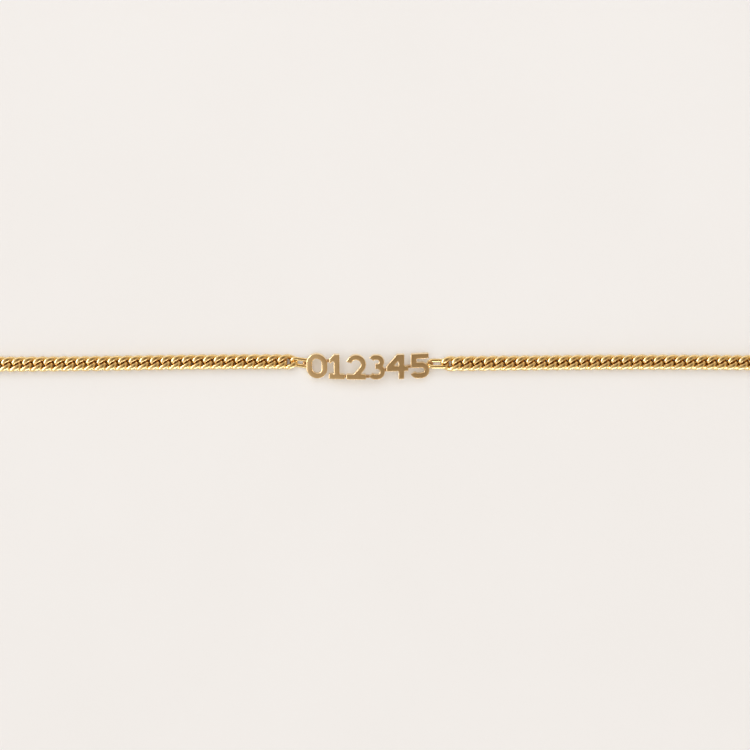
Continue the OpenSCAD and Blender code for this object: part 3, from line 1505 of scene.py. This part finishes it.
    def build(self, gold: bpy.types.Material) -> None:
        """Model the clasp and put it in its place.

        Args:
            gold: The clasp's gold.
        """
        centre = self.centre()
        place = Matrix.Translation(centre * MM)
        dressed(settle(self.tube(), place), gold, Slot.CLASP, Node.CLASP)
        gate_start, gate_end = self.gate_start - self.gate_bite, self.gate_end + self.gate_bite
        gate = self.arc_of_wire("clasp_gate", self.gate_wire, gate_start, gate_end)
        smooth(gate)
        dressed(settle(gate, place), gold, Slot.CLASP)
        dressed(settle(self.lever(), place), gold, Slot.CLASP)
        low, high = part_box(Node.RIGHT.value)
        eye_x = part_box(Node.CLASP.value)[0].x / MM + self.eye_diameter / 2
        eye_place = Matrix.Translation(Vector((eye_x, centre.y, (low.z + high.z) / 2 / MM)) * MM)
        dressed(settle(self.eye(), eye_place @ rotation(self.eye_lean, "X")), gold, Slot.CLASP)


@dataclass
class EndRing:
    """The plain oval ring that the clasp hooks into.

    Attributes:
        ring: The ring.
    """

    ring: OvalRing = field(
        default_factory=lambda: OvalRing(length=4.0, width=1.95, wire=0.45, lean=-35.0))

    def build(self, gold: bpy.types.Material) -> None:
        """Model the ring in its place."""
        low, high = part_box(Node.END_RING.value)
        dressed(self.ring.build("end_ring_wire", (low + high) / 2 / MM), gold, Slot.CLASP, Node.END_RING)


# The studio


@dataclass
class Photo:
    """How the photograph is framed: straight down, with the plate's middle at a pixel.

    Attributes:
        pixels: The width and height of the photograph.
        plate_px: The pixel where the plate's middle lies.
        mm_per_px: The number of millimetres that a pixel shows.
        lens: The camera's focal length, in millimetres.
        sensor: The width of its sensor, in millimetres.
        near: How near to it a thing may be and still show, in metres.
    """

    pixels: int = 750
    plate_px: Pair = (368.0, 363.0)
    mm_per_px: float = 0.135
    lens: float = 100.0
    sensor: float = 36.0
    near: float = 0.01

    @property
    def centre(self) -> Vector:
        """The point of the surface at the middle of the photograph, in metres."""
        half = self.pixels / 2
        return Vector((half - self.plate_px[0], self.plate_px[1] - half, 0)) * self.mm_per_px * MM

    @property
    def distance(self) -> float:
        """The camera's height, in metres."""
        return self.pixels * self.mm_per_px * MM * self.lens / self.sensor


@dataclass
class Softbox:
    """A soft light that is aimed at the plate.

    Attributes:
        name: Its name.
        place: Where it stands, in metres.
        size: Its width and height, in metres.
        energy: Its power, in watts.
        colour: Its colour.
        lights_paper: Whether it lights the paper.
        shows_in_metal: Whether the metal mirrors it.
    """

    name: str
    place: Triple
    size: Pair
    energy: float
    colour: Colour
    lights_paper: bool = True
    shows_in_metal: bool = True

    def build(self) -> None:
        """Set up the light, aimed at the plate."""
        select_only()
        bpy.ops.object.light_add(type="AREA", location=self.place)
        lamp = added(self.name)
        lamp.data.shape = "RECTANGLE"
        lamp.data.size, lamp.data.size_y = self.size
        lamp.data.energy = self.energy
        lamp.data.color = self.colour
        lamp.visible_camera = False
        lamp.visible_diffuse = self.lights_paper
        lamp.visible_glossy = self.shows_in_metal
        lamp.rotation_euler = (-Vector(self.place)).to_track_quat("-Z", "Y").to_euler()


@dataclass
class Studio:
    """The paper, the light and the camera.

    Attributes:
        photo: How the photograph is framed.
        paper: The paper's finish.
        paper_size: The width of the paper, in metres.
        lights: The soft lights.
        bright_wall: The colour of the room's left side.
        brown_wall: The colour of its right side.
        bright_ceiling: The colour overhead, on the left.
        brown_ceiling: The colour overhead, on the right.
        leftward: How much a direction's x and y make it face the bright side.
        wall_span: The sums of these between which the walls turn bright.
        ceiling_span: The sums of these between which the ceiling turns bright.
        overhead_span: A direction's heights between which the walls turn into the ceiling.
    """

    photo: Photo = field(default_factory=Photo)
    paper: Paper = field(default_factory=Paper)
    paper_size: float = 1.6
    lights: tuple[Softbox, ...] = (
        Softbox("window_left", place=(-0.95, 0.08, 0.24), size=(1.3, 0.38), energy=10.2,
                colour=(0.97, 0.985, 1.0), lights_paper=False),
        Softbox("card_front", place=(0.12, -0.60, 0.09), size=(0.46, 0.13), energy=1.4,
                colour=(0.98, 0.99, 1.0), lights_paper=False),
        Softbox("card_back", place=(0.0, 0.62, 0.07), size=(1.0, 0.12), energy=0.5,
                colour=(1.0, 0.97, 0.92), lights_paper=False),
        Softbox("fill_above", place=(-0.04, 0.20, 0.90), size=(1.5, 1.5), energy=8.9,
                colour=(0.93, 0.962, 1.0), shows_in_metal=False),
    )
    bright_wall: Colour = (0.78, 0.75, 0.70)
    brown_wall: Colour = (0.60, 0.48, 0.34)
    bright_ceiling: Colour = (0.46, 0.352, 0.235)
    brown_ceiling: Colour = (0.15, 0.105, 0.058)
    leftward: Pair = (-0.9, -0.35)
    wall_span: Span = (-0.6, 0.7)
    ceiling_span: Span = (-0.35, 0.35)
    overhead_span: Span = (0.62, 0.92)

    def build(self) -> None:
        """Set up everything around the bracelet."""
        select_only()
        bpy.ops.mesh.primitive_plane_add(size=self.paper_size)
        floor = added("paper")
        floor.data.materials.append(self.paper.material())
        for light in self.lights:
            light.build()
        self.room()
        self.camera()

    def room(self) -> None:
        """Light the room: bright to the left, brown to the right and darker overhead."""
        world = bpy.data.worlds.new("room")
        bpy.context.scene.world = world
        world.use_nodes = True
        graph = Graph(world.node_tree)
        backdrop = world.node_tree.nodes["Background"]
        looking = graph.out(graph.node("ShaderNodeTexCoord"), "Generated")
        x, y, z = graph.parts(looking)
        leftward = x * self.leftward[0] + y * self.leftward[1]
        lit_wall = graph.smooth(leftward, self.wall_span)
        walls = graph.mix(lit_wall, self.brown_wall, self.bright_wall)
        lit_ceiling = graph.smooth(leftward, self.ceiling_span)
        ceiling = graph.mix(lit_ceiling, self.brown_ceiling, self.bright_ceiling)
        overhead = graph.smooth(z, self.overhead_span)
        graph.feed(backdrop.inputs["Color"], graph.mix(overhead, walls, ceiling))

    def camera(self) -> None:
        """Set up the camera straight above the paper."""
        select_only()
        above = self.photo.centre + Vector((0, 0, self.photo.distance))
        bpy.ops.object.camera_add(location=above, rotation=(0, 0, 0))
        camera = added("camera")
        camera.data.lens = self.photo.lens
        camera.data.sensor_width = self.photo.sensor
        camera.data.clip_start = self.photo.near
        bpy.context.scene.camera = camera
        bpy.context.scene.view_settings.view_transform = "Standard"


def main() -> None:
    """Build the bracelet from the plate outwards, then the studio."""
    logging.basicConfig(level=logging.INFO, format="%(message)s")
    chain_gold = CHAIN_GOLD.material()
    clasp_gold = CLASP_GOLD.material()
    Nameplate().build(PLATE_GOLD.material(), clasp_gold, SOLDER.material())
    for chain in CHAINS.values():
        chain.build(chain_gold)
    SpringClasp().build(clasp_gold)
    EndRing().build(clasp_gold)
    Studio().build()


if __name__ == "__main__":
    main()
